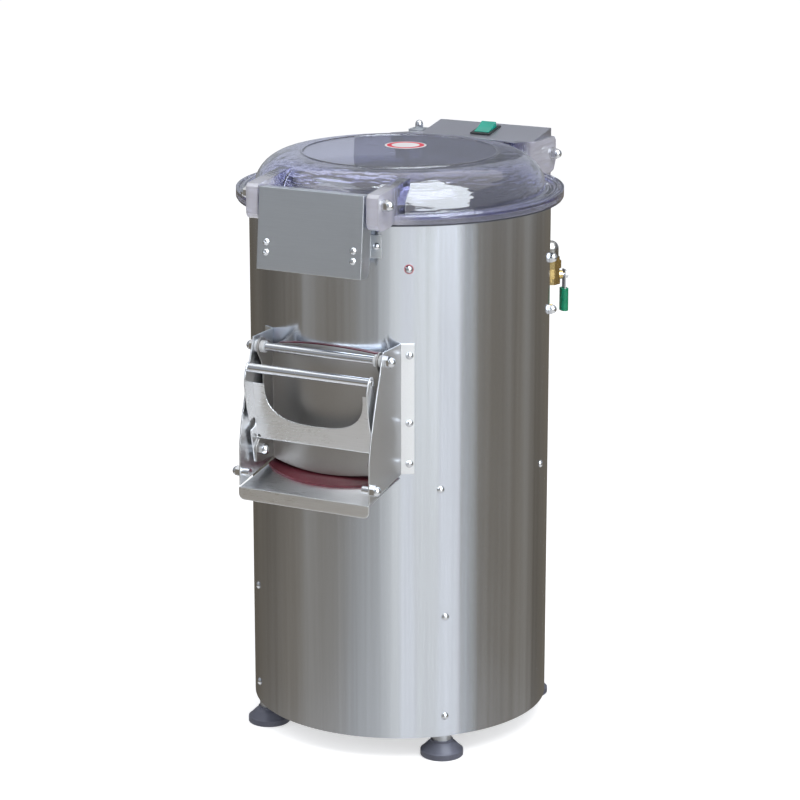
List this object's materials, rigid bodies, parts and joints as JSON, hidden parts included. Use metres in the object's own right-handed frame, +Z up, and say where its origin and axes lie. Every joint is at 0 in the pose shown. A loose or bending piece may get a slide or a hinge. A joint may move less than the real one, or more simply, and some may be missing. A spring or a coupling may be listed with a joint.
{
  "type": "electric potato peeler",
  "caption": "Free-standing drum potato peeler with clear hinged lid, discharge chute with swinging door, control box and water valve.",
  "frame": {"origin": "on the floor under the drum's axis, midway between the four feet", "axes": "+Z up along the drum's axis, -Y out of the discharge chute, +X to the right seen from the front"},
  "size_m": [0.434, 0.5576, 0.7803],
  "materials": {
    "stainless_sheet": "brushed",
    "bright_steel": "polished",
    "zinc_steel": "satin",
    "foot_rubber": "matt",
    "abrasive": "rough",
    "cast_housing": "matt",
    "motor_paint": "satin",
    "red_silicone": "satin",
    "gasket_grey": "satin",
    "clear_plastic": "gloss",
    "white_nylon": "matt",
    "black_plastic": "gloss",
    "green_plastic": "gloss",
    "brass": "cast",
    "grey_fitting": "cast"
  },
  "bodies": {
    "housing": {"drum_shell": "stainless_sheet", "base_ring": "zinc_steel", "foot_pads": "foot_rubber", "foot_collars": "bright_steel", "housing_screws": "bright_steel", "acorn_nuts": "bright_steel", "chamber_floor": "stainless_sheet", "abrasive_liner": "abrasive", "liner_washers": "red_silicone", "bearing_housing": "cast_housing", "shaft_bearings": "bright_steel", "shaft_seal": "foot_rubber", "motor_plate": "zinc_steel", "motor": "motor_paint", "drive_belt": "foot_rubber", "waste_outlet": "stainless_sheet", "cable_gland": "black_plastic", "chute_cheek_left": "stainless_sheet", "chute_cheek_right": "stainless_sheet", "chute_tray": "stainless_sheet", "tray_flap": "red_silicone", "door_seal": "red_silicone", "door_rod": "bright_steel", "latch_studs": "bright_steel", "latch_keepers": "stainless_sheet", "control_box": "stainless_sheet", "control_box_cover": "stainless_sheet", "contactor": "white_nylon", "interlock_switch": "black_plastic", "switch_bezel": "black_plastic", "hinge_pin": "bright_steel", "water_elbow": "grey_fitting", "inlet_locknut": "bright_steel", "union_nut": "bright_steel", "valve_body": "brass"},
    "rotor": {"abrasive_disc": "abrasive", "disc_nut": "bright_steel", "drive_shaft": "bright_steel", "driven_pulley": "cast_housing"},
    "motor_rotor": {"motor_pulley": "cast_housing"},
    "door": {"door_panel": "stainless_sheet", "door_bushes": "white_nylon", "pivot_bolts": "bright_steel", "pivot_nuts": "bright_steel"},
    "handle": {"handle_frame": "stainless_sheet", "handle_bar": "bright_steel"},
    "lid": {"lid_dome": "clear_plastic", "lid_gasket": "gasket_grey", "latch_pin": "bright_steel", "lid_nuts": "bright_steel", "magnet_plate": "stainless_sheet"},
    "latch": {"latch_plate": "stainless_sheet", "latch_hooks": "stainless_sheet", "latch_screws": "bright_steel"},
    "rocker": {"switch_rocker": "green_plastic"},
    "valve": {"valve_ball": "bright_steel", "valve_lever": "bright_steel", "lever_sleeve": "green_plastic"}
  },
  "joints": [
    {"name": "disc_spin", "type": "hinge", "parent": "housing", "child": "rotor", "pos_m": [0, 0, 0.3], "axis": [0, 0, 1], "continuous": true},
    {"name": "motor_spin", "type": "hinge", "parent": "housing", "child": "motor_rotor", "pos_m": [0, 0.125, 0.15], "axis": [0, 0, 1], "continuous": true},
    {"name": "door_hinge", "type": "hinge", "parent": "housing", "child": "door", "pos_m": [0, -0.2182, 0.5508], "axis": [-1, 0, 0], "range_deg": [0, 75]},
    {"name": "handle_pivot", "type": "hinge", "parent": "door", "child": "handle", "pos_m": [0, -0.226, 0.416], "axis": [1, 0, 0], "range_deg": [0, 109.6]},
    {"name": "lid_hinge", "type": "hinge", "parent": "housing", "child": "lid", "pos_m": [0, 0.272, 0.742], "axis": [-1, 0, 0], "range_deg": [0, 82]},
    {"name": "latch_hinge", "type": "hinge", "parent": "lid", "child": "latch", "pos_m": [0, -0.225, 0.752], "axis": [-1, 0, 0], "range_deg": [-5.5, 60]},
    {"name": "rocker_tilt", "type": "hinge", "parent": "housing", "child": "rocker", "pos_m": [0, 0.257, 0.76886], "axis": [-1, 0, 0], "range_deg": [0, 22]},
    {"name": "valve_turn", "type": "hinge", "parent": "housing", "child": "valve", "pos_m": [0.14799, 0.1587, 0.5957], "axis": [0.682, 0.7314, 0], "range_deg": [-90, 0]}
  ],
  "couplings": [
    {"joint": "motor_spin", "follows": "disc_spin", "ratio": 3.0435}
  ]
}
